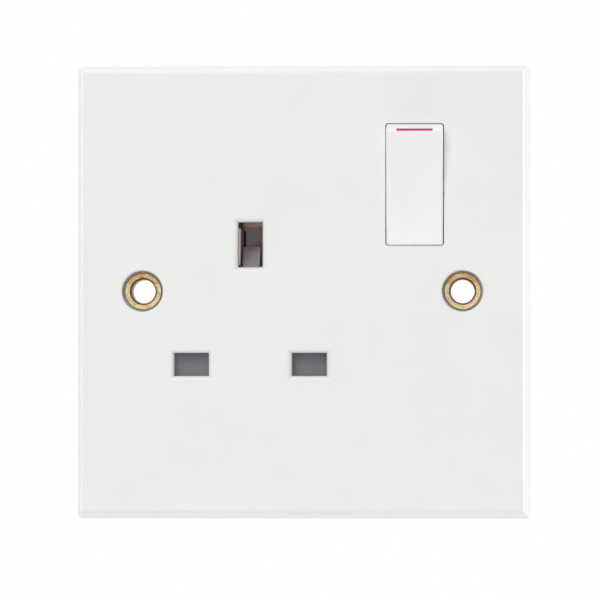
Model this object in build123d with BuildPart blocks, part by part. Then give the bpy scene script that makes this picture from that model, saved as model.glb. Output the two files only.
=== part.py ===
from build123d import *
from math import asin, cos, degrees, hypot, radians, sin
import os

# Single switched socket outlet for 13 A plugs with three flat pins: its moulded, pressed and turned pieces.
# X is to the right and Z up as seen from the room, and +Y goes into the wall. Sizes are in millimetres.
# The origin lies on the wall plane, midway between the fixing holes. The switch is on, with its top out.

# Front plate
plate_size = 86.0
plate_depth = 9.0
plate_side_lean = 1.25
plate_corner_radius = 1.0
plate_edge_radius = 0.85
plate_web = 2.6
plate_rim = 2.2
fixing_spacing = 60.3
fixing_boss_radius = 5.5
fixing_boss_rib = 1.8

# Pin layout and slots
pin_pitch = 22.23
pin_thickness = 3.97
socket_x = -9.8
earth_z = 8.55
live_slot_width = 6.55
live_slot_height = 4.35
live_slot_drop = 0.12
earth_slot_width = 4.6
earth_slot_height = 8.5
earth_slot_lift = 0.2
slot_lead = 0.9

# Fixing bushes and earth strap
bush_recess_radius = 3.85
bush_recess_depth = 3.2
bush_recess_edge = 0.35
bush_flange_radius = 3.5
bush_flange_sink = 2.2
bush_barrel_radius = 2.75
bush_bore_radius = 2.25
bush_cone_depth = 0.8
bush_throat_width = 0.35
bush_throat_depth = 0.8
bush_rim_edge = 0.12
bush_swage_radius = 3.4
bush_swage_height = 0.5
strap_thickness = 0.8
strap_width = 5.0
strap_eye_radius = 4.6
strap_rivet_x = -15.6
strap_rivet_radius = 1.1
strap_rivet_head_radius = 1.9
strap_rivet_head_height = 0.7

# Rocker and its bearing
rocker_x = 21.15
rocker_z = 20.03
window_width = 11.03
window_height = 23.12
window_corner_radius = 0.6
rocker_side_gap = 0.16
rocker_end_gap = 0.17
rocker_rise = 1.55
rocker_dish = 0.35
rocker_wall = 1.5
rocker_skirt = 2.0
rocker_edge_radius = 0.45
rocker_corner_radius = 0.5
rocker_tilt = 8.4
pivot_setback = 0.4
trunnion_radius = 1.5
trunnion_length = 1.6
bearing_play = 0.06
bearing_lug_thickness = 1.6
bearing_lug_height = 6.4
stem_radius = 3.1
stem_reach = 5.0
stem_bore_start = -1.6

# Plunger and the see-saw arm of the switch
plunger_radius = 1.8
plunger_play = 0.05
plunger_start = 1.2
plunger_shoulder = 6.2
plunger_nose_radius = 1.2
plunger_nose_play = 0.1
fulcrum_distance = 10.2
arm_thickness = 0.8
arm_width = 5.2
arm_length = 9.9
arm_setback = 0.3
trough_radius = 0.4
contact_tilt = 10.2
contact_reach_on_arm = 8.6
contact_tip_radius = 1.6
contact_tip_height = 0.9
contact_tip_gap = 0.06
fulcrum_play = 0.05
fulcrum_post_width = 4.8
fulcrum_post_thickness = 3.4
fulcrum_post_lip = 0.35

# Pressed strip contacts
strip = 0.7
strip_bend_radius = 0.7
run_width = 4.5
feed_width = 6.0
pin_play = 0.165
lip_flare = 0.7
lip_length = 1.7
live_contact_depth = 9.8
live_contact_length = 8.8
live_contact_width = 6.8
earth_contact_setback = 3.5
earth_contact_height = 7.0
earth_contact_depth = 23.2
line_run_x = 17.4
earth_joggle_gap = 4.5

# Terminals
block_width = 8.0
block_depth = 7.7
block_height = 8.0
block_edge = 0.4
block_gap = 0.9
conductor_radius = 2.3
conductor_wall = 0.7
conductor_entry_radius = 2.6
line_terminal_x = 6.3
screw_shank_radius = 1.9
screw_play = 0.05
screw_head_radius = 2.8
screw_head_height = 1.9
screw_slot_width = 0.9
screw_slot_depth = 1.0
screw_travel = 4.0
screw_backoff = 0.2
screw_point = 0.4
screw_sink = 0.6
screw_access_radius = 3.2

# Shutter
shutter_gap = 0.2
shutter_thickness = 2.6
shutter_overlap = 0.4
shutter_bar_height = 6.8
shutter_bar_margin = 1.0
shutter_stem_width = 6.4
shutter_ramp_width = 3.2
shutter_ramp_depth = 4.5
shutter_ramp_rise = 4.7
shutter_ramp_heel = 3.6
shutter_peg_radius = 0.7
shutter_peg_length = 1.8
deck_thickness = 1.5

# Springs
shutter_spring_radius = 1.15
shutter_spring_turns = 5
rocker_spring_radius = 1.3
rocker_spring_turns = 3.5
spring_wire_radius = 0.2

# Rear base and its screws
base_wall = 1.6
base_rib = 1.2
base_corner_radius = 2.0
base_rear_edge = 0.8
base_waist_gap = 1.65
base_step_depth = 4.0
base_step_left = -13.5
cell_half_width = 7.6
cell_clearance = 0.6
fit = 0.2
seat = 0.1
shelf_height = 2.8
shelf_depth = 3.0
arm_stop_gap = 0.15
arm_stop_size = 1.8
base_screw_places = {"upper": (-22.5, 24.0), "middle": (4.5, 10.0), "lower": (13.0, -22.0)}
base_screw_radius = 1.45
base_screw_play = 0.05
base_screw_clearance = 0.3
base_screw_head_radius = 2.8
base_screw_head_height = 2.0
base_screw_seat_y = 8.0
base_screw_end_gap = 0.8
base_boss_radius = 3.5
base_boss_height = 5.4

# Depth levels, from the room into the wall
face_y = -plate_depth
web_y = face_y + plate_web
shutter_front_y = web_y + shutter_gap
shutter_rear_y = shutter_front_y + shutter_thickness
deck_y = shutter_rear_y + shutter_gap
pivot_y = web_y + pivot_setback
fulcrum_y = pivot_y + fulcrum_distance
live_contact_y = face_y + live_contact_depth
strip_y = live_contact_y + live_contact_length
strip_rear_y = strip_y + strip
strip_floor_y = strip_rear_y + seat
earth_contact_y = web_y + earth_contact_setback
earth_back_y = face_y + earth_contact_depth
earth_floor_y = earth_back_y + strip + seat
strap_rear_y = -bush_swage_height
strap_y = strap_rear_y - strap_thickness
bush_flange_y = face_y + bush_recess_depth
conductor_y = strip_y - block_depth + conductor_wall + conductor_radius
screw_tip_y = conductor_y + conductor_radius + screw_backoff
screw_seat_y = strip_rear_y + screw_backoff + screw_travel
screw_end_y = screw_seat_y + screw_head_height
base_rear_y = max(screw_end_y + screw_sink, earth_floor_y + base_wall)
base_step_y = base_rear_y - base_step_depth
fixed_tip_y = fulcrum_y - arm_setback + arm_thickness / 2 + contact_tip_height + contact_tip_gap
feed_shelf_y = fixed_tip_y + contact_tip_height

# Places in the front view
pin_z = earth_z - pin_pitch
neutral_x = socket_x - pin_pitch / 2
line_x = socket_x + pin_pitch / 2
leaf_gap = pin_thickness / 2 + pin_play
leaf_centre = leaf_gap + strip / 2
contact_reach = leaf_gap + strip + lip_flare
feed_z = rocker_z + contact_reach_on_arm
neutral_terminal_z = pin_z - contact_reach - block_gap - block_height / 2
window_radius = hypot(window_height / 2, pivot_y - face_y)
rocker_end_radius = window_radius - rocker_end_gap
rocker_width = window_width - 2 * rocker_side_gap
cell_half_height = rocker_end_radius + cell_clearance
base_half_width = rocker_x + cell_half_width + base_wall
base_top = feed_z + block_height / 2 + fit + base_wall
base_bottom = neutral_terminal_z - block_height / 2 - fit - base_wall
base_inner_top = base_top - base_wall
base_inner_bottom = base_bottom + base_wall
base_waist_half_height = rocker_z - cell_half_height - base_wall
base_waist_half_width = fixing_spacing / 2 - fixing_boss_radius - base_waist_gap
pocket_half_width = block_width / 2 + fit
run_half = run_width / 2 + fit
shutter_top_z = pin_z + live_slot_height / 2 + shutter_overlap
shutter_bottom_z = shutter_top_z - shutter_bar_height
shutter_travel = live_slot_height + 2 * shutter_overlap
shutter_bar_width = pin_pitch + live_slot_width + 2 * shutter_bar_margin
shutter_axis_y = (shutter_front_y + shutter_rear_y) / 2
ramp_top_z = earth_z
ramp_foot_z = ramp_top_z - shutter_ramp_rise
ramp_rear_y = shutter_front_y + shutter_ramp_depth
fixing_points = [(-fixing_spacing / 2, 0), (fixing_spacing / 2, 0)]
plate_lean_angle = degrees(asin(plate_side_lean / plate_depth))
nose_offset = plunger_nose_radius + arm_setback + arm_thickness / 2 + plunger_nose_play
nose_reach = fulcrum_distance - nose_offset / cos(radians(contact_tilt))
trough_outer_radius = trough_radius + arm_thickness

os.makedirs("parts", exist_ok=True)


def at_depth(y):
    """Front-view plane at depth y: its axes are X and Z, and its normal points into the room."""
    return Plane.XZ.offset(-y)


def side_plane(x, y, z, tilt=0):
    """Side-view plane through a point, turned about X: its axes are then Y and Z."""
    turn = radians(tilt)
    return Plane(origin=(x, y, z), x_dir=(0, cos(turn), sin(turn)), z_dir=(1, 0, 0))


def rectangle_between(left, right, bottom, top, mode=Mode.ADD):
    """Rectangle given by its four limits in the sketch's own axes."""
    with Locations(((left + right) / 2, (bottom + top) / 2)):
        Rectangle(right - left, top - bottom, mode=mode)


def cut_rear_to_front(front_y, rear_y):
    """Cut the pending sketch, which lies at rear_y, forward to front_y."""
    extrude(amount=rear_y - front_y, mode=Mode.SUBTRACT)


def save(builder, name):
    """Label a finished piece and write it as its own file."""
    builder.part.label = name
    export_step(builder.part, f"parts/{name}.step")


# Front plate: a leaning shell with a rolled front edge
with BuildPart() as front_plate:
    with BuildSketch(at_depth(0)):
        RectangleRounded(plate_size, plate_size, plate_corner_radius)
    extrude(amount=plate_depth, taper=plate_lean_angle)
    fillet(front_plate.faces().sort_by(Axis.Y)[0].edges(), plate_edge_radius)
    with BuildSketch(at_depth(0)):
        Rectangle(plate_size - 2 * plate_rim, plate_size - 2 * plate_rim)
    extrude(amount=-web_y, taper=plate_lean_angle, mode=Mode.SUBTRACT)
    # Pin slots with a lead-in
    with BuildSketch(at_depth(web_y)):
        live_slot_z = pin_z - live_slot_drop
        with Locations((neutral_x, live_slot_z), (line_x, live_slot_z)):
            Rectangle(live_slot_width, live_slot_height)
        with Locations((socket_x, earth_z + earth_slot_lift)):
            Rectangle(earth_slot_width, earth_slot_height)
    cut_rear_to_front(face_y, web_y)
    slots = front_plate.faces().sort_by(Axis.Y)[0].inner_wires()
    fillet(slots.edges(), slot_lead)
    # Bosses behind the fixing holes, each tied to the rim by a rib
    with BuildSketch(at_depth(strap_y)):
        with Locations(*fixing_points):
            Circle(fixing_boss_radius)
        rib_end = plate_size / 2 - plate_rim / 2
        rectangle_between(-rib_end, -fixing_spacing / 2, -fixing_boss_rib / 2, fixing_boss_rib / 2)
        rectangle_between(fixing_spacing / 2, rib_end, -fixing_boss_rib / 2, fixing_boss_rib / 2)
    extrude(amount=strap_y - web_y)
    # Bosses that take the base screws
    with BuildSketch(at_depth(web_y + base_boss_height)):
        with Locations(*base_screw_places.values()):
            Circle(base_boss_radius)
    extrude(amount=base_boss_height)
    with BuildSketch(at_depth(web_y + base_boss_height)):
        with Locations(*base_screw_places.values()):
            Circle(base_screw_radius + base_screw_play)
    extrude(amount=base_boss_height, mode=Mode.SUBTRACT)
    # Bearing lugs on both sides of the rocker window
    with BuildSketch(at_depth(pivot_y + trunnion_radius)):
        lug_offset = (window_width + bearing_lug_thickness) / 2
        with Locations((rocker_x - lug_offset, rocker_z), (rocker_x + lug_offset, rocker_z)):
            Rectangle(bearing_lug_thickness, bearing_lug_height)
    extrude(amount=pivot_y + trunnion_radius - web_y)
    bearing_radius = trunnion_radius + bearing_play
    with BuildSketch(side_plane(rocker_x, pivot_y, rocker_z)):
        Circle(bearing_radius)
        rectangle_between(0, 2 * trunnion_radius, -bearing_radius, bearing_radius)
    extrude(amount=window_width / 2 + bearing_lug_thickness, both=True, mode=Mode.SUBTRACT)
    # Rocker window, whose ends are rounded about the rocker's axis
    with BuildSketch(side_plane(rocker_x, pivot_y, rocker_z)):
        Circle(window_radius)
    extrude(amount=window_width / 2, both=True, mode=Mode.SUBTRACT)
    window_ends = front_plate.faces().filter_by(GeomType.CYLINDER).filter_by(
        lambda face: abs(face.radius - window_radius) < bearing_play
    )
    fillet(window_ends.edges().filter_by(GeomType.CIRCLE), window_corner_radius)
    # Fixing holes, sunk at the front for the bush flange
    with BuildSketch(at_depth(bush_flange_y)):
        with Locations(*fixing_points):
            Circle(bush_recess_radius)
    cut_rear_to_front(face_y, bush_flange_y)
    recess_rims = front_plate.edges().filter_by(GeomType.CIRCLE).filter_by(
        lambda edge: abs(edge.radius - bush_recess_radius) < bearing_play
    )
    fillet(recess_rims.group_by(Axis.Y)[0], bush_recess_edge)
    with BuildSketch(at_depth(strap_y)):
        with Locations(*fixing_points):
            Circle(bush_barrel_radius + screw_play)
    cut_rear_to_front(face_y, strap_y)
save(front_plate, "front_plate")


def base_outline(inset):
    """Front view of the base or its hollow: two lobes, with a waist that clears the wall box's lugs."""
    side = base_half_width - inset
    waist = base_waist_half_width - inset
    waist_height = base_waist_half_height + inset
    with BuildSketch() as outline:
        rectangle_between(-side, side, waist_height, base_top - inset)
        rectangle_between(-side, side, base_bottom + inset, -waist_height)
        rectangle_between(-waist, waist, -waist_height, waist_height)
        fillet(outline.vertices(), base_corner_radius - inset)
    return outline.sketch


def strip_pockets():
    """Pockets whose floor carries the flat strips: contacts, terminals, switch cell and runs."""
    contact_half = contact_reach + fit
    rectangle_between(
        neutral_x - pocket_half_width, neutral_x + pocket_half_width, base_inner_bottom, pin_z + contact_half
    )
    rectangle_between(
        line_x - pocket_half_width, line_x + pocket_half_width, pin_z - contact_half, pin_z + contact_half
    )
    rectangle_between(line_x, line_run_x + run_half, pin_z - run_half, pin_z + run_half)
    rectangle_between(line_run_x - run_half, line_run_x + run_half, pin_z - run_half, rocker_z)
    rectangle_between(
        rocker_x - cell_half_width,
        rocker_x + cell_half_width,
        rocker_z - cell_half_height,
        rocker_z + cell_half_height,
    )
    for x in (socket_x, line_terminal_x):
        rectangle_between(
            x - pocket_half_width, x + pocket_half_width, feed_z - block_height / 2 - fit, base_inner_top
        )
    feed_half = feed_width / 2 + fit
    rectangle_between(line_terminal_x, rocker_x, feed_z - feed_half, feed_z + feed_half)
    rectangle_between(
        socket_x - live_contact_width / 2 - fit,
        socket_x + live_contact_width / 2 + fit,
        earth_z,
        feed_z,
    )


def earth_pocket():
    """Deep pocket of the earth contact."""
    rectangle_between(
        socket_x - contact_reach - fit,
        socket_x + contact_reach + fit,
        earth_z - earth_contact_height / 2 - fit,
        earth_z + earth_contact_height / 2 + earth_joggle_gap + fit,
    )


def shutter_recess():
    """Front view of the space that the shutter sweeps, with its side play."""
    bar_half = shutter_bar_width / 2 + shutter_gap
    stem_half = shutter_stem_width / 2 + shutter_gap
    low = shutter_bottom_z - shutter_travel - fit
    rectangle_between(socket_x - bar_half, socket_x + bar_half, low, shutter_top_z + fit)
    rectangle_between(socket_x - stem_half, socket_x + stem_half, low, earth_z)


# Rear base: a shelled tray with ribbed pockets for the metal pieces
with BuildPart() as rear_base:
    with BuildSketch(at_depth(base_rear_y)):
        add(base_outline(0))
    extrude(amount=base_rear_y - web_y)
    with BuildSketch(at_depth(base_rear_y)):
        rectangle_between(base_step_left, base_half_width, base_bottom, -base_waist_half_height)
    cut_rear_to_front(base_step_y, base_rear_y)
    with BuildSketch(at_depth(base_step_y - base_wall)):
        add(base_outline(base_wall))
    cut_rear_to_front(web_y, base_step_y - base_wall)
    with BuildSketch(at_depth(base_rear_y - base_wall)):
        add(base_outline(base_wall))
        rectangle_between(
            base_step_left - base_wall,
            base_half_width,
            base_bottom,
            base_wall - base_waist_half_height,
            mode=Mode.SUBTRACT,
        )
    cut_rear_to_front(base_step_y - base_wall, base_rear_y - base_wall)
    # Rib walls round the pockets, screw columns and the deck that the shutter slides on
    with BuildSketch(at_depth(strip_floor_y + base_rib)):
        strip_pockets()
        offset(amount=base_rib, kind=Kind.INTERSECTION)
    extrude(amount=strip_floor_y + base_rib - web_y)
    with BuildSketch(at_depth(earth_floor_y + base_rib)):
        earth_pocket()
        offset(amount=base_rib, kind=Kind.INTERSECTION)
    extrude(amount=earth_floor_y + base_rib - web_y)
    with BuildSketch(at_depth(deck_y + deck_thickness)):
        shutter_recess()
        offset(amount=base_rib, kind=Kind.INTERSECTION)
    extrude(amount=deck_y + deck_thickness - web_y)
    with BuildSketch(at_depth(base_step_y)):
        with Locations(*base_screw_places.values()):
            Circle(base_boss_radius + fit + base_rib)
    extrude(amount=base_step_y - web_y)
    with BuildSketch(at_depth(base_rear_y)):
        with Locations(base_screw_places["upper"], base_screw_places["middle"]):
            Circle(base_screw_head_radius + fit + base_rib)
    extrude(amount=base_step_depth)
    with BuildSketch(at_depth(base_rear_y)):
        with Locations((socket_x, feed_z), (line_terminal_x, feed_z), (neutral_x, neutral_terminal_z)):
            Circle(screw_access_radius + base_rib)
    extrude(amount=base_rear_y - strip_floor_y)
    # Pockets
    with BuildSketch(at_depth(strip_floor_y)):
        strip_pockets()
    cut_rear_to_front(web_y, strip_floor_y)
    with BuildSketch(at_depth(earth_floor_y)):
        earth_pocket()
    cut_rear_to_front(web_y, earth_floor_y)
    with BuildSketch(at_depth(deck_y)):
        shutter_recess()
    cut_rear_to_front(web_y, deck_y)
    # Slot in the deck for the ramp, and the seat of the shutter spring
    with BuildSketch(at_depth(ramp_rear_y + fit)):
        rectangle_between(
            socket_x - shutter_ramp_width / 2 - fit,
            socket_x + shutter_ramp_width / 2 + fit,
            ramp_top_z - shutter_ramp_rise - shutter_travel - shutter_ramp_heel,
            earth_z,
        )
    cut_rear_to_front(web_y, ramp_rear_y + fit)
    spring_seat_half = shutter_spring_radius + spring_wire_radius + fit
    with BuildSketch(at_depth(shutter_axis_y + spring_seat_half)):
        rectangle_between(
            socket_x - spring_seat_half, socket_x + spring_seat_half, base_inner_bottom, shutter_bottom_z
        )
    cut_rear_to_front(web_y, shutter_axis_y + spring_seat_half)
    # Way across for the earth strap and the flap of the earth contact
    with BuildSketch(at_depth(strap_rear_y + seat)):
        strap_half = strap_width / 2 + fit
        rectangle_between(-base_half_width, base_half_width, -strap_half, strap_half)
    cut_rear_to_front(web_y, strap_rear_y + seat)
    flap_left = strap_rivet_x - strap_width / 2
    with BuildSketch(at_depth(strap_rear_y + strip + seat)):
        rectangle_between(
            flap_left - fit, socket_x - leaf_gap, -strap_width / 2 - fit, earth_z + fit
        )
    cut_rear_to_front(web_y, strap_rear_y + strip + seat)
    with BuildSketch(at_depth(strap_rear_y + strip + strap_rivet_head_height + seat)):
        with Locations((strap_rivet_x, 0)):
            Circle(strap_rivet_head_radius + fit)
    cut_rear_to_front(web_y, strap_rear_y + strip + strap_rivet_head_height + seat)
    # Shelves behind the rocker's trunnions, and the stop under the arm's lower end
    with BuildSketch(at_depth(pivot_y + trunnion_radius + seat + shelf_depth)):
        shelf_inner = rocker_width / 2 + cell_clearance
        for side in (-1, 1):
            with Locations((rocker_x + side * (shelf_inner + cell_half_width) / 2, rocker_z)):
                Rectangle(cell_half_width - shelf_inner, shelf_height)
    extrude(amount=shelf_depth)
    with BuildSketch(at_depth(strip_floor_y)):
        with Locations((rocker_x, rocker_z - contact_reach_on_arm)):
            Rectangle(arm_stop_size, arm_stop_size)
    arm_rear_y = fulcrum_y - arm_setback + arm_thickness / 2
    extrude(amount=strip_floor_y - arm_rear_y - arm_stop_gap)
    # Screw holes from the back, and the conductor entries in the edges
    with BuildSketch(at_depth(base_rear_y)):
        with Locations((socket_x, feed_z), (line_terminal_x, feed_z), (neutral_x, neutral_terminal_z)):
            Circle(screw_access_radius)
    cut_rear_to_front(strip_floor_y, base_rear_y)
    with BuildSketch(at_depth(base_rear_y)):
        with Locations(*base_screw_places.values()):
            Circle(base_screw_head_radius + fit)
    cut_rear_to_front(base_screw_seat_y, base_rear_y)
    with BuildSketch(at_depth(base_screw_seat_y)):
        with Locations(*base_screw_places.values()):
            Circle(base_screw_radius + base_screw_clearance)
    cut_rear_to_front(web_y, base_screw_seat_y)
    with BuildSketch(at_depth(web_y + base_boss_height + seat)):
        with Locations(*base_screw_places.values()):
            Circle(base_boss_radius + fit)
    cut_rear_to_front(web_y, web_y + base_boss_height + seat)
    with BuildSketch(Plane.XY.offset(base_inner_top)):
        with Locations((socket_x, conductor_y), (line_terminal_x, conductor_y)):
            Circle(conductor_entry_radius)
    extrude(amount=base_wall, mode=Mode.SUBTRACT)
    with BuildSketch(Plane.XY.offset(base_bottom)):
        with Locations((neutral_x, conductor_y)):
            Circle(conductor_entry_radius)
    extrude(amount=base_wall, mode=Mode.SUBTRACT)
    fillet(rear_base.faces().sort_by(Axis.Y)[-1].outer_wire().edges(), base_rear_edge)
save(rear_base, "rear_base")

# Fixing bushes: turned brass with a cone in front, swaged over the earth strap behind
for side, (bush_x, bush_z) in zip(("left", "right"), fixing_points):
    with BuildPart() as bush:
        with BuildSketch(Plane(origin=(bush_x, 0, bush_z))):
            with BuildLine():
                flange_front_y = face_y + bush_flange_sink
                throat_y = flange_front_y + bush_cone_depth
                Polyline(
                    (bush_bore_radius, 0),
                    (bush_bore_radius, throat_y + bush_throat_depth),
                    (bush_bore_radius + bush_throat_width, throat_y),
                    (bush_flange_radius - bush_rim_edge, flange_front_y),
                    (bush_flange_radius, flange_front_y + bush_rim_edge),
                    (bush_flange_radius, bush_flange_y),
                    (bush_barrel_radius, bush_flange_y),
                    (bush_barrel_radius, strap_rear_y),
                    (bush_swage_radius, strap_rear_y),
                    (bush_barrel_radius, 0),
                    close=True,
                )
            make_face()
        revolve(axis=Axis((bush_x, 0, bush_z), (0, 1, 0)))
    save(bush, f"fixing_bush_{side}")

# Earth strap: flat stamping between the two bushes
with BuildPart() as earth_strap:
    with BuildSketch(at_depth(strap_rear_y)):
        Rectangle(fixing_spacing, strap_width)
        with Locations(*fixing_points):
            Circle(strap_eye_radius)
            Circle(bush_barrel_radius + screw_play, mode=Mode.SUBTRACT)
        with Locations((strap_rivet_x, 0)):
            Circle(strap_rivet_radius + screw_play, mode=Mode.SUBTRACT)
    extrude(amount=strap_thickness)
save(earth_strap, "earth_strap")

# Rivet that joins the strap to the earth contact's flap
with BuildPart() as earth_strap_rivet:
    with BuildSketch(at_depth(strap_rear_y + strip + strap_rivet_head_height)):
        with Locations((strap_rivet_x, 0)):
            Circle(strap_rivet_head_radius)
    extrude(amount=strap_rivet_head_height)
    with BuildSketch(at_depth(strap_rear_y + strip)):
        with Locations((strap_rivet_x, 0)):
            Circle(strap_rivet_radius)
    extrude(amount=strip + strap_thickness)
    with BuildSketch(at_depth(strap_y)):
        with Locations((strap_rivet_x, 0)):
            Circle(strap_rivet_head_radius)
    extrude(amount=strap_rivet_head_height)
save(earth_strap_rivet, "earth_strap_rivet")


def contact_profile(mouth, back_y):
    """Pressed contact in the sketch's axes: depth, then offset from the pin's axis, from one mouth's points."""
    leaf = [*mouth, (back_y + strip / 2, leaf_centre)]
    other_leaf = [(depth, -offset) for depth, offset in reversed(leaf)]
    with BuildLine() as centre_line:
        FilletPolyline(*leaf, *other_leaf, radius=strip_bend_radius)
    trace(centre_line.line, line_width=strip)


def live_contact(x):
    """Contact that grips a line or neutral pin from above and below."""
    with BuildSketch(side_plane(x, 0, pin_z)) as profile:
        lip = (live_contact_y, leaf_centre + lip_flare)
        contact_profile([lip, (live_contact_y + lip_length, leaf_centre)], strip_y)
    extrude(profile.sketch, amount=live_contact_width / 2, both=True)


# Neutral contact, with its tail behind the neutral terminal
with BuildPart() as neutral_contact:
    live_contact(neutral_x)
    with BuildSketch(at_depth(strip_rear_y)):
        rectangle_between(
            neutral_x - feed_width / 2,
            neutral_x + feed_width / 2,
            neutral_terminal_z - block_height / 2,
            pin_z,
        )
        with Locations((neutral_x, neutral_terminal_z)):
            Circle(screw_shank_radius + fit, mode=Mode.SUBTRACT)
    extrude(amount=strip)
save(neutral_contact, "neutral_contact")

# Line contact, with its run up to the post that the see-saw arm rocks on
with BuildPart() as line_contact:
    live_contact(line_x)
    with BuildSketch(at_depth(strip_rear_y)):
        run = run_width / 2
        post = fulcrum_post_width / 2
        rectangle_between(line_x, line_run_x + run, pin_z - run, pin_z + run)
        rectangle_between(line_run_x - run, line_run_x + run, pin_z - run, rocker_z + run)
        rectangle_between(line_run_x - run, rocker_x + post, rocker_z - run, rocker_z + run)
    extrude(amount=strip)
    with BuildSketch(at_depth(strip_y)):
        with Locations((rocker_x, rocker_z)):
            Rectangle(fulcrum_post_width, fulcrum_post_thickness)
    extrude(amount=strip_y - fulcrum_y - fulcrum_post_lip)
    with BuildSketch(side_plane(rocker_x, fulcrum_y, rocker_z)):
        Circle(trough_outer_radius + fulcrum_play)
    extrude(amount=fulcrum_post_width, both=True, mode=Mode.SUBTRACT)
save(line_contact, "line_contact")

# Earth contact: two leaves, a tail with a joggle up to the terminal, and a flap to the strap
with BuildPart() as earth_contact:
    with BuildSketch(Plane(origin=(socket_x, 0, earth_z), x_dir=(0, 1, 0), z_dir=(0, 0, 1))):
        contact_profile([(earth_contact_y, leaf_centre)], earth_back_y)
    extrude(amount=earth_contact_height / 2, both=True)
    with BuildSketch(side_plane(socket_x, 0, earth_z)):
        joggle_z = earth_contact_height / 2 + earth_joggle_gap / 2
        with BuildLine():
            FilletPolyline(
                (earth_back_y + strip / 2, 0),
                (earth_back_y + strip / 2, joggle_z),
                (strip_y + strip / 2, joggle_z),
                (strip_y + strip / 2, feed_z + block_height / 2 - earth_z),
                radius=strip_bend_radius,
            )
        trace(line_width=strip)
    extrude(amount=leaf_centre, both=True)
    with BuildSketch(at_depth(strip_rear_y)):
        with Locations((socket_x, feed_z)):
            Circle(screw_shank_radius + fit)
    extrude(amount=strip, mode=Mode.SUBTRACT)
    with BuildSketch(at_depth(strap_rear_y + strip)):
        rectangle_between(
            strap_rivet_x - strap_width / 2, socket_x - leaf_centre, -strap_width / 2, earth_z
        )
        with Locations((strap_rivet_x, 0)):
            Circle(strap_rivet_radius + screw_play, mode=Mode.SUBTRACT)
    extrude(amount=strip)
save(earth_contact, "earth_contact")

# Feed strip from the line terminal, raised under the fixed contact
with BuildPart() as line_feed_strip:
    with BuildSketch(Plane.XY.offset(feed_z)):
        shelf_half = contact_tip_radius + strip
        with BuildLine():
            FilletPolyline(
                (line_terminal_x - block_width / 2, strip_y + strip / 2),
                (rocker_x - shelf_half - strip_bend_radius, strip_y + strip / 2),
                (rocker_x - shelf_half - strip_bend_radius, feed_shelf_y + strip / 2),
                (rocker_x + shelf_half, feed_shelf_y + strip / 2),
                radius=strip_bend_radius,
            )
        trace(line_width=strip)
    extrude(amount=feed_width / 2, both=True)
    with BuildSketch(at_depth(strip_rear_y)):
        with Locations((line_terminal_x, feed_z)):
            Circle(screw_shank_radius + fit)
    extrude(amount=strip, mode=Mode.SUBTRACT)
save(line_feed_strip, "line_feed_strip")

with BuildPart() as fixed_contact_tip:
    with BuildSketch(at_depth(feed_shelf_y)):
        with Locations((rocker_x, feed_z)):
            Circle(contact_tip_radius)
    extrude(amount=contact_tip_height)
save(fixed_contact_tip, "fixed_contact_tip")

# See-saw arm: two wings and a trough that rocks in the post's groove
with BuildPart() as moving_contact:
    with BuildSketch(side_plane(rocker_x, fulcrum_y, rocker_z, -contact_tilt)):
        Circle(trough_outer_radius)
        Circle(trough_radius, mode=Mode.SUBTRACT)
        rectangle_between(
            -2 * trough_outer_radius,
            -arm_setback,
            -trough_outer_radius,
            trough_outer_radius,
            mode=Mode.SUBTRACT,
        )
        for wing in (-1, 1):
            lean = wing * contact_tilt
            middle = (trough_radius + arm_length) / 2
            wing_x = -arm_setback * cos(radians(contact_tilt)) - middle * sin(radians(contact_tilt))
            wing_z = wing * (middle * cos(radians(contact_tilt)) - arm_setback * sin(radians(contact_tilt)))
            with Locations(Location((wing_x, wing_z), lean)):
                Rectangle(arm_thickness, arm_length - trough_radius)
    extrude(amount=arm_width / 2, both=True)
save(moving_contact, "moving_contact")

with BuildPart() as moving_contact_tip:
    with BuildSketch(at_depth(arm_rear_y + contact_tip_height)):
        with Locations((rocker_x, feed_z)):
            Circle(contact_tip_radius)
    extrude(amount=contact_tip_height)
save(moving_contact_tip, "moving_contact_tip")

# Terminals and their screws, which are backed off to leave the conductor hole open
terminals = {
    "earth": (socket_x, feed_z),
    "line": (line_terminal_x, feed_z),
    "neutral": (neutral_x, neutral_terminal_z),
}
for circuit, (terminal_x, terminal_z) in terminals.items():
    with BuildPart() as terminal:
        with BuildSketch(at_depth(strip_y)):
            with Locations((terminal_x, terminal_z)):
                Rectangle(block_width, block_height)
        extrude(amount=block_depth)
        chamfer(terminal.edges().filter_by(Axis.Z), block_edge)
        with BuildSketch(Plane.XY.offset(terminal_z)):
            with Locations((terminal_x, conductor_y)):
                Circle(conductor_radius)
        extrude(amount=block_height, both=True, mode=Mode.SUBTRACT)
        with BuildSketch(at_depth(strip_y)):
            with Locations((terminal_x, terminal_z)):
                Circle(screw_shank_radius + screw_play)
        cut_rear_to_front(conductor_y, strip_y)
    save(terminal, f"{circuit}_terminal")
    with BuildPart() as terminal_screw:
        with BuildSketch(at_depth(screw_end_y)):
            with Locations((terminal_x, terminal_z)):
                Circle(screw_head_radius)
        extrude(amount=screw_head_height)
        with BuildSketch(at_depth(screw_seat_y)):
            with Locations((terminal_x, terminal_z)):
                Circle(screw_shank_radius)
        extrude(amount=screw_seat_y - screw_tip_y)
        chamfer(terminal_screw.faces().sort_by(Axis.Y)[0].edges(), screw_point)
        with BuildSketch(at_depth(screw_end_y)):
            with Locations((terminal_x, terminal_z)):
                Rectangle(2 * screw_head_radius, screw_slot_width)
        extrude(amount=screw_slot_depth, mode=Mode.SUBTRACT)
    save(terminal_screw, f"{circuit}_terminal_screw")


def rocker_plane(offset_x=0):
    """Side-view plane at the rocker's axis, turned with the rocker: depth below the axis, then height."""
    return side_plane(rocker_x + offset_x, pivot_y, rocker_z, rocker_tilt)


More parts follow.
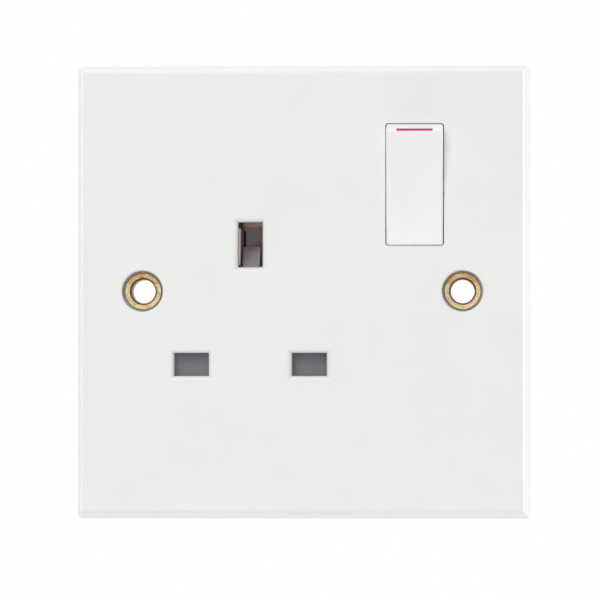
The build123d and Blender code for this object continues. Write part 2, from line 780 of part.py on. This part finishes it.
# Rocker: a dished face, ends rounded about the axis, a hollow back, trunnions and a stem
rocker_face = pivot_y - face_y + rocker_rise
with BuildPart() as rocker:
    corner_height = (rocker_end_radius**2 - rocker_face**2) ** 0.5
    skirt_height = (rocker_end_radius**2 - rocker_skirt**2) ** 0.5
    with BuildSketch(rocker_plane()):
        with BuildLine():
            ThreePointArc(
                (-rocker_face, -corner_height), (-rocker_face + rocker_dish, 0), (-rocker_face, corner_height)
            )
            ThreePointArc((-rocker_face, corner_height), (0, rocker_end_radius), (rocker_skirt, skirt_height))
            Line((rocker_skirt, skirt_height), (rocker_skirt, -skirt_height))
            ThreePointArc(
                (rocker_skirt, -skirt_height), (0, -rocker_end_radius), (-rocker_face, -corner_height)
            )
        make_face()
    extrude(amount=rocker_width / 2, both=True)
    with BuildSketch(rocker_plane()):
        hollow_radius = rocker_end_radius - rocker_wall
        with BuildLine():
            hollow_front = rocker_face - rocker_dish - rocker_wall
            front_height = (hollow_radius**2 - hollow_front**2) ** 0.5
            rear_height = (hollow_radius**2 - rocker_skirt**2) ** 0.5
            Line((-hollow_front, -front_height), (-hollow_front, front_height))
            ThreePointArc((-hollow_front, front_height), (0, hollow_radius), (rocker_skirt, rear_height))
            Line((rocker_skirt, rear_height), (rocker_skirt, -rear_height))
            ThreePointArc((rocker_skirt, -rear_height), (0, -hollow_radius), (-hollow_front, -front_height))
        make_face()
    extrude(amount=rocker_width / 2 - rocker_wall, both=True, mode=Mode.SUBTRACT)
    ends = rocker.faces().filter_by(GeomType.CYLINDER).filter_by(
        lambda face: abs(face.radius - rocker_end_radius) < bearing_play
    )
    fillet(ends.edges().filter_by(GeomType.CIRCLE), rocker_corner_radius)
    face_edges = rocker.faces().filter_by(GeomType.CYLINDER).sort_by(Axis.Y)[0].edges()
    fillet(face_edges, rocker_edge_radius)
    with BuildSketch(rocker_plane()):
        Circle(trunnion_radius)
    extrude(amount=rocker_width / 2 + trunnion_length, both=True)
    with BuildSketch(rocker_plane()):
        rectangle_between(-hollow_front, rocker_skirt, -trunnion_radius, trunnion_radius)
    extrude(amount=rocker_width / 2 - rocker_wall, both=True)
    stem_base = Plane(origin=(rocker_x, pivot_y, rocker_z), x_dir=(1, 0, 0), z_dir=rocker_plane().x_dir)
    with BuildSketch(stem_base.offset(-hollow_front)):
        Circle(stem_radius)
    extrude(amount=hollow_front + stem_reach)
    with BuildSketch(stem_base.offset(stem_bore_start)):
        Circle(plunger_radius + plunger_play)
    extrude(amount=stem_reach - stem_bore_start, mode=Mode.SUBTRACT)
save(rocker, "rocker")

# Plunger with a round nose that rides in the see-saw arm
with BuildPart() as rocker_plunger:
    with BuildSketch(rocker_plane()):
        with BuildLine():
            Polyline(
                (nose_reach + plunger_nose_radius, 0),
                (plunger_start, 0),
                (plunger_start, plunger_radius),
                (plunger_shoulder, plunger_radius),
                (nose_reach, plunger_nose_radius),
            )
            CenterArc((nose_reach, 0), plunger_nose_radius, 0, 90)
        make_face()
    revolve(axis=Axis((rocker_x, pivot_y, rocker_z), rocker_plane().x_dir))
save(rocker_plunger, "rocker_plunger")


def coil_spring(radius, turns, start, end):
    """Round-wire spring whose wire lies between two points on its axis."""
    axis = end - start
    height = axis.length - 2 * spring_wire_radius
    first = start + axis.normalized() * spring_wire_radius
    with BuildLine() as coil:
        Helix(pitch=height / turns, height=height, radius=radius, center=first, direction=axis)
    with BuildSketch(Plane(origin=coil.line @ 0, z_dir=coil.line % 0)) as wire:
        Circle(spring_wire_radius)
    sweep(wire.sketch, path=coil.line, is_frenet=True)


with BuildPart() as rocker_spring:
    coil_spring(
        rocker_spring_radius,
        rocker_spring_turns,
        stem_base.offset(stem_bore_start).origin,
        stem_base.offset(plunger_start).origin,
    )
save(rocker_spring, "rocker_spring")

# Shutter: a bar that closes both live slots, on a stem with the earth pin's ramp
with BuildPart() as shutter:
    with BuildSketch(at_depth(shutter_rear_y)):
        with Locations((socket_x, (shutter_top_z + shutter_bottom_z) / 2)):
            Rectangle(shutter_bar_width, shutter_bar_height)
        stem_half = shutter_stem_width / 2
        rectangle_between(socket_x - stem_half, socket_x + stem_half, shutter_bottom_z, ramp_foot_z)
    extrude(amount=shutter_thickness)
    with BuildSketch(side_plane(socket_x, 0, 0)):
        with BuildLine():
            Polyline(
                (shutter_front_y, ramp_foot_z),
                (ramp_rear_y, ramp_top_z),
                (ramp_rear_y, ramp_top_z - shutter_ramp_heel),
                (shutter_rear_y, ramp_foot_z - shutter_ramp_heel),
                (shutter_front_y, ramp_foot_z - shutter_ramp_heel),
                close=True,
            )
        make_face()
    extrude(amount=shutter_ramp_width / 2, both=True)
    with BuildSketch(Plane.XY.offset(shutter_bottom_z)):
        with Locations((socket_x, shutter_axis_y)):
            Circle(shutter_peg_radius)
    extrude(amount=-shutter_peg_length)
save(shutter, "shutter")

with BuildPart() as shutter_spring:
    coil_spring(
        shutter_spring_radius,
        shutter_spring_turns,
        Vector(socket_x, shutter_axis_y, base_inner_bottom),
        Vector(socket_x, shutter_axis_y, shutter_bottom_z),
    )
save(shutter_spring, "shutter_spring")

# Base screws
for place, (screw_x, screw_z) in base_screw_places.items():
    with BuildPart() as base_screw:
        with BuildSketch(at_depth(base_screw_seat_y + base_screw_head_height)):
            with Locations((screw_x, screw_z)):
                Circle(base_screw_head_radius)
        extrude(amount=base_screw_head_height)
        with BuildSketch(at_depth(base_screw_seat_y)):
            with Locations((screw_x, screw_z)):
                Circle(base_screw_radius)
        extrude(amount=base_screw_seat_y - web_y - base_screw_end_gap)
        with BuildSketch(at_depth(base_screw_seat_y + base_screw_head_height)):
            with Locations((screw_x, screw_z)):
                Rectangle(2 * base_screw_head_radius, screw_slot_width)
        extrude(amount=screw_slot_depth, mode=Mode.SUBTRACT)
    save(base_screw, f"base_screw_{place}")
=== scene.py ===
from math import cos, pi, radians, sin

import bmesh
import bpy
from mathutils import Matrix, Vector
from mathutils.bvhtree import BVHTree


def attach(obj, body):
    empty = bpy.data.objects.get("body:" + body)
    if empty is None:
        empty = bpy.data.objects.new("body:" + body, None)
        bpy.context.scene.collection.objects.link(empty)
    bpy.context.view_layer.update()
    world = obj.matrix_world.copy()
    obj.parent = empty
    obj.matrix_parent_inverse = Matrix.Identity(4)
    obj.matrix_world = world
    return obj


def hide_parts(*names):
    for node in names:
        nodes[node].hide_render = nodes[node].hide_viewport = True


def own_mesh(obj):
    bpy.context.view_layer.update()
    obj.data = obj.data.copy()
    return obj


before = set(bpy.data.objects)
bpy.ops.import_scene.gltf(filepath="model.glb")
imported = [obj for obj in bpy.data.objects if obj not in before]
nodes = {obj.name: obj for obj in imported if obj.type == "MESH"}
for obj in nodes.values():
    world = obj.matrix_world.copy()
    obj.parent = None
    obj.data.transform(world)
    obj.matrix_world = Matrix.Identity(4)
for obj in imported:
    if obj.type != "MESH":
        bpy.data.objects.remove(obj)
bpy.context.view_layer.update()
scene = bpy.context.scene
scene.view_settings.view_transform = "Standard"

# Lengths are in metres and angles in degrees, unless the name says otherwise.

# Camera
PHOTO_PIXELS = 600
PIXELS_PER_METRE = 5315
CAMERA_DISTANCE = 0.90
CAMERA_RIGHT = 2.0
CAMERA_BELOW = 1.3
CAMERA_NEAREST = 0.01
FACE_CENTRE = Vector((0, -0.009, 0))
SENSOR_MM = 36
SHIFT_RIGHT_PIXELS = -2.3
SHIFT_UP_PIXELS = -9.0

# World and floor
WORLD_LIGHT = 0.5
FLOOR_Z = -0.3
FLOOR_RADIUS = 0.5
FLOOR_SIDES = 64
FLOOR_SHADE = 0.92
FLOOR_FADE = (0.5 * FLOOR_RADIUS, 0.95 * FLOOR_RADIUS)

# Switch mark: a film of paint on the rocker's upper end face
ROCKER_AXIS = Vector((0.02115, -0.006, 0.02003))
ROCKER_END_RADIUS = 0.011773
MARK_WIDTH = 0.0068
MARK_ANGLES = (27.9, 31.2)
MARK_THICKNESS = 0.000008
MARK_ROWS = 16

# Shutter: the height over which its tone pales towards the foot of the ramp, a painted light on the ramp
RAMP_FOOT_Z = 0.00385
RAMP_LIGHT_FADE = (RAMP_FOOT_Z - 0.002, RAMP_FOOT_Z)

# Earth contact: where a painted highlight lies on its front edge, where painted shade lies on its back
# web, and where that painted shade thins above the top of the web
EARTH_FRONT_Y = -0.0029
EARTH_BACK_Y = 0.0142
EARTH_TOP_Z = 0.0127
EARTH_EDGE_FADE = (EARTH_FRONT_Y + 0.0002, EARTH_FRONT_Y + 0.0005)
EARTH_WEB_FADE = (EARTH_BACK_Y - 0.0001, EARTH_BACK_Y - 0.00002)
EARTH_REAR_FADE = (EARTH_BACK_Y + 0.00005, EARTH_BACK_Y + 0.0001)
EARTH_TOP_FADE = (EARTH_TOP_Z, EARTH_TOP_Z + 0.0006)
# share of the painted shade kept above the top of the web, which paints that band lighter
EARTH_TOP_SHADE_SHARE = 0.5

# Fixing bushes: where painted shade darkens the rim, the throat and the upper half, and painted light
# brightens the lower half
BUSH_SPACING = 0.0603
BUSH_RIM_RADIUS = 0.00342
BUSH_THROAT_Y = -0.0059
BUSH_FADE = 0.0001
BUSH_RIM_FADE = (BUSH_RIM_RADIUS - BUSH_FADE, BUSH_RIM_RADIUS)
BUSH_THROAT_FADE = (BUSH_THROAT_Y - BUSH_FADE, BUSH_THROAT_Y)
BUSH_UPPER_FADE = (0.0, 0.003)
# painted light below the bush's centre and painted shade above it, added to the tarnish
BUSH_UPPER_SHADE = (-0.08, 0.2)

# Noise in the materials: how wide its patches are
CLOUD_SIZE = 0.014
SPECK_SIZE = 0.0003
GLOSS_SIZE = 0.004
PEEL_SIZE = 0.0016
GRAIN_SIZE = 0.00018
STREAK_SIZE = 0.0004
STAIN_SIZE = 0.003
TARNISH_SIZE = 0.0013
NICK_SIZE = 0.00045
WOBBLE_SIZE = 0.002
PAINT_PATCH_SIZE = 0.0006
PAINT_GRAIN_SIZE = 0.0002

# Noise in the materials: the band over which it goes from none to full
CLOUD_BAND = (0.35, 0.65)
SPECK_BAND = (0.62, 0.75)
GLOSS_BAND = (0.3, 0.7)
STREAK_BAND = (0.5, 0.8)
STAIN_BAND = (0.4, 0.75)
TARNISH_BAND = (0.45, 0.72)
NICK_BAND = (0.66, 0.74)
PAINT_BAND = (0.35, 0.7)

# Small marks in the materials: how much of them shows, and how dark they are
SPECK_SHARE = 0.12
SPECK_SHADE = 0.8
STREAK_SHARE = 0.35
NICK_SHARE = 0.55
NICK_SHADE = 0.45

# Roughness: how far it goes below and above its own value
RESIN_SPREAD = (-0.05, 0.05)
METAL_SPREAD = (-0.08, 0.1)
COPPER_SPREAD = (-0.05, 0.05)
BRASS_SPREAD = (-0.06, 0.12)

# Relief in the materials: how deep it is
STREAK_DEPTH = 0.000004
RING_DEPTH = 0.000004
NICK_DEPTH = 0.00001
PAINT_GRAIN_DEPTH = 0.000004

# Lathe rings: their pitch, how far they wander and how steeply they climb with depth
RING_PITCH = 0.00016
RING_WANDER = 3 * RING_PITCH
RING_CLIMB = 0.8

# Streaks in metal run along the axis whose scale is small
ALONG_X = (0.08, 1, 1)
ALONG_Y = (1, 0.08, 1)
ALONG_Z = (1, 1, 0.08)
BLOCK_STREAKS = (1, 1, 0.15)
SCREW_STREAKS = (0.1, 1, 1)
NO_STREAKS = (1, 1, 1)


class Surface:
    """A node material round one Principled shader, with its texture in the object's own metres."""

    # A Mix node's two colours and their mix, among its sockets
    MIX_COLOURS = (6, 7)
    MIX_RESULT = 2

    def __init__(self, name, roughness, metallic=0.0, specular=0.5):
        self.material = bpy.data.materials.new(name)
        self.material.use_nodes = True
        self.tree = self.material.node_tree
        self.shader = self.tree.nodes["Principled BSDF"]
        self.shader.inputs["Roughness"].default_value = roughness
        self.shader.inputs["Metallic"].default_value = metallic
        self.shader.inputs["Specular IOR Level"].default_value = specular
        self.place = self.add("ShaderNodeTexCoord").outputs["Object"]

    def add(self, kind, links=None, values=None, **settings):
        """Node with its settings, its plain values and what is linked into it."""
        node = self.tree.nodes.new(kind)
        for key, value in settings.items():
            setattr(node, key, value)
        for key, value in (values or {}).items():
            node.inputs[key].default_value = value
        for key, socket in (links or {}).items():
            self.tree.links.new(socket, node.inputs[key])
        return node

    def axes(self):
        """The place on the surface as its X, Y and Z."""
        return self.add("ShaderNodeSeparateXYZ", {"Vector": self.place}).outputs

    def noise(self, size, detail=3.0, stretch=None):
        """Noise from 0 to 1 whose patches are about size metres across."""
        place = self.place
        if stretch:
            scaled = self.add("ShaderNodeMapping", {"Vector": place}, {"Scale": stretch})
            place = scaled.outputs["Vector"]
        values = {"Scale": 1 / size, "Detail": detail}
        return self.add("ShaderNodeTexNoise", {"Vector": place}, values).outputs["Fac"]

    def ramp(self, fac, low, high, low_value=0.0, high_value=1.0):
        """Straight change from low_value at low to high_value at high, held beyond both."""
        made = self.add(
            "ShaderNodeMapRange",
            {"Value": fac},
            {"From Min": low, "From Max": high, "To Min": low_value, "To Max": high_value},
        )
        return made.outputs["Result"]

    def math(self, operation, first, second=None):
        """One step of arithmetic on one or two parts; each is a number or a socket."""
        made = self.add("ShaderNodeMath", operation=operation)
        for index, part in enumerate((first, second)):
            if part is None:
                continue
            if isinstance(part, (int, float)):
                made.inputs[index].default_value = part
            else:
                self.tree.links.new(part, made.inputs[index])
        return made.outputs["Value"]

    def mix(self, fac, first, second):
        """Mix of two colours; each is a tuple or a socket."""
        made = self.add("ShaderNodeMix", {"Factor": fac}, data_type="RGBA")
        for key, part in zip(self.MIX_COLOURS, (first, second)):
            if isinstance(part, tuple):
                made.inputs[key].default_value = (*part, 1)
            else:
                self.tree.links.new(part, made.inputs[key])
        return made.outputs[self.MIX_RESULT]

    def colour(self, socket):
        self.tree.links.new(socket, self.shader.inputs["Base Color"])

    def roughness(self, socket):
        self.tree.links.new(socket, self.shader.inputs["Roughness"])

    def gloss(self, noise, roughness, spread):
        """Roughness that a noise takes below and above its own value."""
        below, above = spread
        self.roughness(self.ramp(noise, *GLOSS_BAND, roughness + below, roughness + above))

    def alpha(self, socket):
        self.tree.links.new(socket, self.shader.inputs["Alpha"])

    def bump(self, *layers):
        """Stacked bumps, each (height socket, depth in metres)."""
        normal = None
        for height, depth in layers:
            links = {"Height": height}
            if normal:
                links["Normal"] = normal
            made = self.add("ShaderNodeBump", links, {"Distance": depth, "Strength": 1.0})
            normal = made.outputs["Normal"]
        self.tree.links.new(normal, self.shader.inputs["Normal"])


def linear(red, green, blue):
    """Screen colour from 0 to 255 as linear light."""
    return tuple(
        value / 12.92 if value <= 0.04045 else ((value + 0.055) / 1.055) ** 2.4
        for value in (red / 255, green / 255, blue / 255)
    )


def shaded(colour, share):
    """A share of a linear colour's light."""
    return tuple(share * part for part in colour)


def moulded(name, pale, dark, roughness, peel, grain, painted_light=None):
    """Moulded resin: faint clouds and specks, orange peel, fine grain, and a painted light that pales it
    above a given height.
    """
    made = Surface(name, roughness)
    cloud = made.noise(CLOUD_SIZE, detail=2)
    speck = made.ramp(made.noise(SPECK_SIZE, detail=2), *SPECK_BAND)
    tone = made.mix(made.ramp(cloud, *CLOUD_BAND), dark, pale)
    if painted_light:
        # painted light: the tone pales above the ramp's foot and stands for light falling on the ramp
        tone = made.mix(made.ramp(made.axes()["Z"], *RAMP_LIGHT_FADE), tone, painted_light)
    made.colour(made.mix(made.math("MULTIPLY", speck, SPECK_SHARE), tone, shaded(dark, SPECK_SHADE)))
    made.gloss(made.noise(GLOSS_SIZE), roughness, RESIN_SPREAD)
    made.bump((made.noise(PEEL_SIZE, detail=1), peel), (made.noise(GRAIN_SIZE, detail=2), grain))
    return made.material


def strip_tone(made, bright, dull, stretch):
    """Colour and height of rolled or cut metal: streaks along the strip, and stains."""
    streak = made.noise(STREAK_SIZE, stretch=stretch)
    stain = made.noise(STAIN_SIZE)
    tone = made.mix(made.ramp(stain, *STAIN_BAND), bright, dull)
    dulled = made.math("MULTIPLY", made.ramp(streak, *STREAK_BAND), STREAK_SHARE)
    return made.mix(dulled, tone, dull), streak


def metal(name, bright, dull, roughness, stretch):
    """Rolled or cut metal."""
    made = Surface(name, roughness, metallic=1.0)
    tone, streak = strip_tone(made, bright, dull, stretch)
    made.colour(tone)
    made.gloss(streak, roughness, METAL_SPREAD)
    made.bump((streak, STREAK_DEPTH))
    return made.material


def leaf_copper(name, bright, dull, edge_highlight, painted_shade, stretch):
    """Pressed copper contact: a painted highlight on the front edge, leaves that the pin keeps bright,
    and painted shade on the inner back, thinned above its top.
    """
    cut_roughness, rubbed_roughness = 0.36, 0.14
    made = Surface(name, cut_roughness, metallic=0.6)
    tone, streak = strip_tone(made, bright, dull, stretch)
    axes = made.axes()
    # painted highlight: the front edge takes a paler tone
    leaf = made.ramp(axes["Y"], *EARTH_EDGE_FADE)
    # painted shade on the inner face of the back web, kept at a smaller share above the web's top
    web = made.ramp(axes["Y"], *EARTH_WEB_FADE)
    rear = made.ramp(axes["Y"], *EARTH_REAR_FADE)
    top_shade_share = made.ramp(axes["Z"], *EARTH_TOP_FADE, 1.0, EARTH_TOP_SHADE_SHARE)
    back = made.math("MULTIPLY", made.math("SUBTRACT", web, rear), top_shade_share)
    made.colour(made.mix(back, made.mix(leaf, edge_highlight, tone), painted_shade))
    rubbed = made.ramp(made.math("SUBTRACT", leaf, web), 0, 1, cut_roughness, rubbed_roughness)
    made.roughness(made.math("ADD", rubbed, made.ramp(streak, *GLOSS_BAND, *COPPER_SPREAD)))
    made.bump((streak, STREAK_DEPTH))
    return made.material


def turned_rings(made, radius, depth):
    """Fine lathe rings on a turned piece, a little out of true."""
    along = made.math("ADD", radius, made.math("MULTIPLY", depth, RING_CLIMB))
    wobble = made.math("MULTIPLY", made.noise(WOBBLE_SIZE), RING_WANDER)
    phase = made.math("MULTIPLY", made.math("ADD", along, wobble), 2 * pi / RING_PITCH)
    return made.math("SINE", phase)


def bush_radius(made, axes):
    """Distance from the axis of the nearer bush."""
    across = made.math("SUBTRACT", made.math("ABSOLUTE", axes["X"]), BUSH_SPACING / 2)
    across_square = made.math("MULTIPLY", across, across)
    height_square = made.math("MULTIPLY", axes["Z"], axes["Z"])
    return made.math("SQRT", made.math("ADD", across_square, height_square))


def turned_brass(name, bright, dull, painted_shade, roughness):
    """Turned brass bushes: lathe rings, tarnish, small nicks, and painted shade on the rim, in the
    throat and over the upper half.
    """
    made = Surface(name, roughness, metallic=0.5)
    axes = made.axes()
    radius = bush_radius(made, axes)
    rings = turned_rings(made, radius, axes["Y"])
    tarnish = made.noise(TARNISH_SIZE, detail=4)
    nick = made.ramp(made.noise(NICK_SIZE, detail=2), *NICK_BAND)
    # painted shade over the upper half, painted light over the lower half
    upper_shade = made.ramp(axes["Z"], *BUSH_UPPER_FADE, *BUSH_UPPER_SHADE)
    tone = made.mix(made.ramp(made.math("ADD", tarnish, upper_shade), *TARNISH_BAND), bright, dull)
    tone = made.mix(made.math("MULTIPLY", nick, NICK_SHARE), tone, shaded(dull, NICK_SHADE))
    # painted shade on the rim and in the throat
    throat = made.ramp(axes["Y"], *BUSH_THROAT_FADE)
    rim = made.ramp(radius, *BUSH_RIM_FADE)
    made.colour(made.mix(made.math("MAXIMUM", throat, rim), tone, painted_shade))
    made.gloss(tarnish, roughness, BRASS_SPREAD)
    made.bump((rings, RING_DEPTH), (nick, NICK_DEPTH))
    return made.material


def paint(name, bright, dull, roughness):
    """Printed paint, a little uneven."""
    made = Surface(name, roughness)
    made.colour(made.mix(made.ramp(made.noise(PAINT_PATCH_SIZE), *PAINT_BAND), bright, dull))
    made.bump((made.noise(PAINT_GRAIN_SIZE), PAINT_GRAIN_DEPTH))
    return made.material


plate_resin = moulded(
    "plate_resin",
    pale=linear(238, 238, 237),
    dark=linear(235, 235, 234),
    roughness=0.38,
    peel=0.000004,
    grain=0.000001,
)
rocker_resin = moulded(
    "rocker_resin",
    pale=linear(245, 243, 244),
    dark=linear(243, 240, 241),
    roughness=0.32,
    peel=0.000003,
    grain=0.000001,
)
base_resin = moulded(
    "base_resin",
    pale=linear(236, 236, 232),
    dark=linear(230, 230, 225),
    roughness=0.5,
    peel=0.000006,
    grain=0.000003,
)
shutter_nylon = moulded(
    "shutter_nylon",
    pale=linear(116, 113, 119),
    dark=linear(108, 105, 111),
    roughness=0.5,
    peel=0.000006,
    grain=0.000004,
    # painted light on the shutter's ramp
    painted_light=linear(156, 146, 150),
)
plunger_nylon = moulded(
    "plunger_nylon",
    pale=linear(226, 222, 210),
    dark=linear(218, 213, 200),
    roughness=0.5,
    peel=0.000004,
    grain=0.000003,
)
bush_brass = turned_brass(
    "bush_brass",
    bright=linear(255, 246, 206),
    dull=linear(236, 184, 126),
    # painted shade for the rim and the throat
    painted_shade=linear(150, 112, 70),
    roughness=0.3,
)
earth_copper = leaf_copper(
    "earth_copper",
    bright=linear(230, 184, 160),
    dull=linear(196, 146, 122),
    # edge_highlight is a painted highlight; painted_shade is painted shade on the back web
    edge_highlight=linear(234, 205, 197),
    painted_shade=linear(104, 98, 95),
    stretch=ALONG_Y,
)
strip_brass = metal("strip_brass", linear(214, 176, 110), linear(176, 134, 76), 0.3, ALONG_Z)
strap_brass = metal("strap_brass", linear(214, 176, 110), linear(176, 134, 76), 0.3, ALONG_X)
contact_copper = metal("contact_copper", linear(206, 168, 150), linear(150, 108, 92), 0.32, ALONG_Y)
block_brass = metal("block_brass", linear(220, 184, 118), linear(184, 142, 82), 0.34, BLOCK_STREAKS)
screw_brass = metal("screw_brass", linear(218, 182, 118), linear(170, 128, 72), 0.3, SCREW_STREAKS)
contact_silver = metal("contact_silver", linear(214, 214, 212), linear(168, 166, 160), 0.3, NO_STREAKS)
screw_zinc = metal("screw_zinc", linear(196, 197, 196), linear(150, 150, 148), 0.32, SCREW_STREAKS)
spring_steel = metal("spring_steel", linear(178, 178, 178), linear(120, 118, 114), 0.28, NO_STREAKS)
mark_paint = paint("mark_paint", linear(184, 6, 90), linear(166, 5, 80), 0.4)

looks = {
    "front_plate": plate_resin,
    "rear_base": base_resin,
    "rocker": rocker_resin,
    "shutter": shutter_nylon,
    "rocker_plunger": plunger_nylon,
    "fixing_bush_left": bush_brass,
    "fixing_bush_right": bush_brass,
    "earth_strap": strap_brass,
    "earth_strap_rivet": block_brass,
    "earth_contact": earth_copper,
    "neutral_contact": strip_brass,
    "line_contact": strip_brass,
    "line_feed_strip": strap_brass,
    "moving_contact": contact_copper,
    "fixed_contact_tip": contact_silver,
    "moving_contact_tip": contact_silver,
    "earth_terminal": block_brass,
    "neutral_terminal": block_brass,
    "line_terminal": block_brass,
    "earth_terminal_screw": screw_brass,
    "neutral_terminal_screw": screw_brass,
    "line_terminal_screw": screw_brass,
    "rocker_spring": spring_steel,
    "shutter_spring": spring_steel,
    "base_screw_upper": screw_zinc,
    "base_screw_middle": screw_zinc,
    "base_screw_lower": screw_zinc,
}
for name, material in looks.items():
    mesh = nodes[name].data
    mesh.materials.clear()
    mesh.materials.append(material)


def film_points(film, carrier):
    """The mark's points just under and just over the carrier's surface, by level, row and side."""
    shell = bmesh.new()
    shell.from_mesh(carrier.data)
    surface = BVHTree.FromBMesh(shell)
    low, high = (radians(angle) for angle in MARK_ANGLES)
    points = {}
    for row in range(MARK_ROWS + 1):
        angle = low + (high - low) * row / MARK_ROWS
        outward = Vector((0, -sin(angle), cos(angle)))
        for side, x in enumerate((-MARK_WIDTH / 2, MARK_WIDTH / 2)):
            start = ROCKER_AXIS + Vector((x, 0, 0)) + outward * 2 * ROCKER_END_RADIUS
            place, normal = surface.ray_cast(start, -outward)[:2]
            for level, lift in enumerate((-MARK_THICKNESS, MARK_THICKNESS)):
                points[level, row, side] = film.verts.new(place + normal * lift)
    shell.free()
    return points


def laid_mark(name, carrier, material):
    """Film of paint laid on the carrier, in rows round the rocker's axis from +Z towards -Y."""
    film = bmesh.new()
    points = film_points(film, carrier)
    ring = ((0, 0), (0, 1), (1, 1), (1, 0))
    for row in range(MARK_ROWS):
        for (level, side), (next_level, next_side) in zip(ring, ring[1:] + ring[:1]):
            film.faces.new(
                (
                    points[level, row, side],
                    points[next_level, row, next_side],
                    points[next_level, row + 1, next_side],
                    points[level, row + 1, side],
                )
            )
    for row in (0, MARK_ROWS):
        film.faces.new([points[level, row, side] for level, side in ring])
    bmesh.ops.recalc_face_normals(film, faces=film.faces)
    data = bpy.data.meshes.new(name)
    film.to_mesh(data)
    film.free()
    data.materials.append(material)
    piece = bpy.data.objects.new(name, data)
    scene.collection.objects.link(piece)
    return piece


mark = laid_mark("switch_mark", nodes["rocker"], mark_paint)
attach(mark, "rocker")


def live_spring(name, node, body):
    """Coil in place of a rigid CAD spring: a copy of its mesh that moves with the body."""
    piece = bpy.data.objects.new(name, nodes[node].data.copy())
    scene.collection.objects.link(piece)
    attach(piece, body)
    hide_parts(node)
    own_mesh(piece)


live_spring(
    "rocker_coil",
    node="rocker_spring",
    body="rocker",
)
live_spring(
    "shutter_coil",
    node="shutter_spring",
    body="housing",
)


def aim(piece, direction):
    """Turn a camera or lamp to look along a direction, with its top up."""
    piece.rotation_mode = "QUATERNION"
    piece.rotation_quaternion = direction.to_track_quat("-Z", "Y")


def photo_camera():
    """Camera as in the photo, a little to the right of the object and below it."""
    turn, drop = radians(CAMERA_RIGHT), radians(CAMERA_BELOW)
    back = Vector((sin(turn) * cos(drop), -cos(turn) * cos(drop), -sin(drop)))
    data = bpy.data.cameras.new("camera")
    data.sensor_width = SENSOR_MM
    data.lens = SENSOR_MM * CAMERA_DISTANCE * PIXELS_PER_METRE / PHOTO_PIXELS
    data.shift_x = SHIFT_RIGHT_PIXELS / PHOTO_PIXELS
    data.shift_y = SHIFT_UP_PIXELS / PHOTO_PIXELS
    data.clip_start = CAMERA_NEAREST
    made = bpy.data.objects.new("camera", data)
    made.location = FACE_CENTRE + back * CAMERA_DISTANCE
    aim(made, -back)
    scene.collection.objects.link(made)
    return made


def white_world():
    """White to the camera, in reflections and through clear pieces, but dimmer as light."""
    world = bpy.data.worlds.new("world")
    world.use_nodes = True
    tree = world.node_tree
    tree.nodes.clear()
    path = tree.nodes.new("ShaderNodeLightPath")
    seen = path.outputs["Is Camera Ray"]
    for ray in ("Is Glossy Ray", "Is Transmission Ray"):
        either = tree.nodes.new("ShaderNodeMath")
        either.operation = "MAXIMUM"
        tree.links.new(seen, either.inputs[0])
        tree.links.new(path.outputs[ray], either.inputs[1])
        seen = either.outputs["Value"]
    level = tree.nodes.new("ShaderNodeMapRange")
    level.inputs["To Min"].default_value = WORLD_LIGHT
    level.inputs["To Max"].default_value = 1.0
    tree.links.new(seen, level.inputs["Value"])
    sky = tree.nodes.new("ShaderNodeBackground")
    sky.inputs["Color"].default_value = (1, 1, 1, 1)
    tree.links.new(level.outputs["Result"], sky.inputs["Strength"])
    out = tree.nodes.new("ShaderNodeOutputWorld")
    tree.links.new(sky.outputs["Background"], out.inputs["Surface"])
    return world


def lamp(name, place, power, size, mirrored=True):
    """Soft square lamp that looks at the object; glossy surfaces show it where it is mirrored."""
    data = bpy.data.lights.new(name, "AREA")
    data.energy = power
    data.size = size
    made = bpy.data.objects.new(name, data)
    made.location = place
    made.visible_camera = False
    made.visible_glossy = mirrored
    aim(made, -Vector(place))
    scene.collection.objects.link(made)


def floor_paper():
    """Pale paper that fades out before the floor's edge and is clear from below."""
    made = Surface("floor_paper", 0.9, specular=0.1)
    made.shader.inputs["Base Color"].default_value = (FLOOR_SHADE, FLOOR_SHADE, FLOOR_SHADE, 1)
    reach = made.add("ShaderNodeVectorMath", {0: made.place}, operation="LENGTH").outputs["Value"]
    fade = made.ramp(reach, *FLOOR_FADE, 1.0, 0.0)
    under = made.add("ShaderNodeNewGeometry").outputs["Backfacing"]
    made.alpha(made.math("MULTIPLY", fade, made.math("SUBTRACT", 1.0, under)))
    return made.material


def pale_floor():
    """Wide round floor below the object."""
    disc = bmesh.new()
    bmesh.ops.create_circle(disc, cap_ends=True, segments=FLOOR_SIDES, radius=FLOOR_RADIUS)
    data = bpy.data.meshes.new("floor")
    disc.to_mesh(data)
    disc.free()
    data.materials.append(floor_paper())
    made = bpy.data.objects.new("floor", data)
    made.location = (0, 0, FLOOR_Z)
    scene.collection.objects.link(made)
    return made


scene.camera = photo_camera()
scene.world = white_world()
lamp("key", (-0.24, -0.73, 0.5), power=3.45, size=0.42)
lamp("front", (0.0, -0.9, -0.04), power=0.5, size=0.12)
lamp("right", (0.90, 0.13, 0.05), power=4.1, size=0.3)
lamp("left", (-0.90, 0.13, 0.05), power=1.6, size=0.3)
lamp("below", (0.0, -0.06, -0.27), power=0.074, size=0.1, mirrored=False)
lamp("top", (0.0, 0.1, 0.6), power=0.7, size=0.3)
floor = pale_floor()
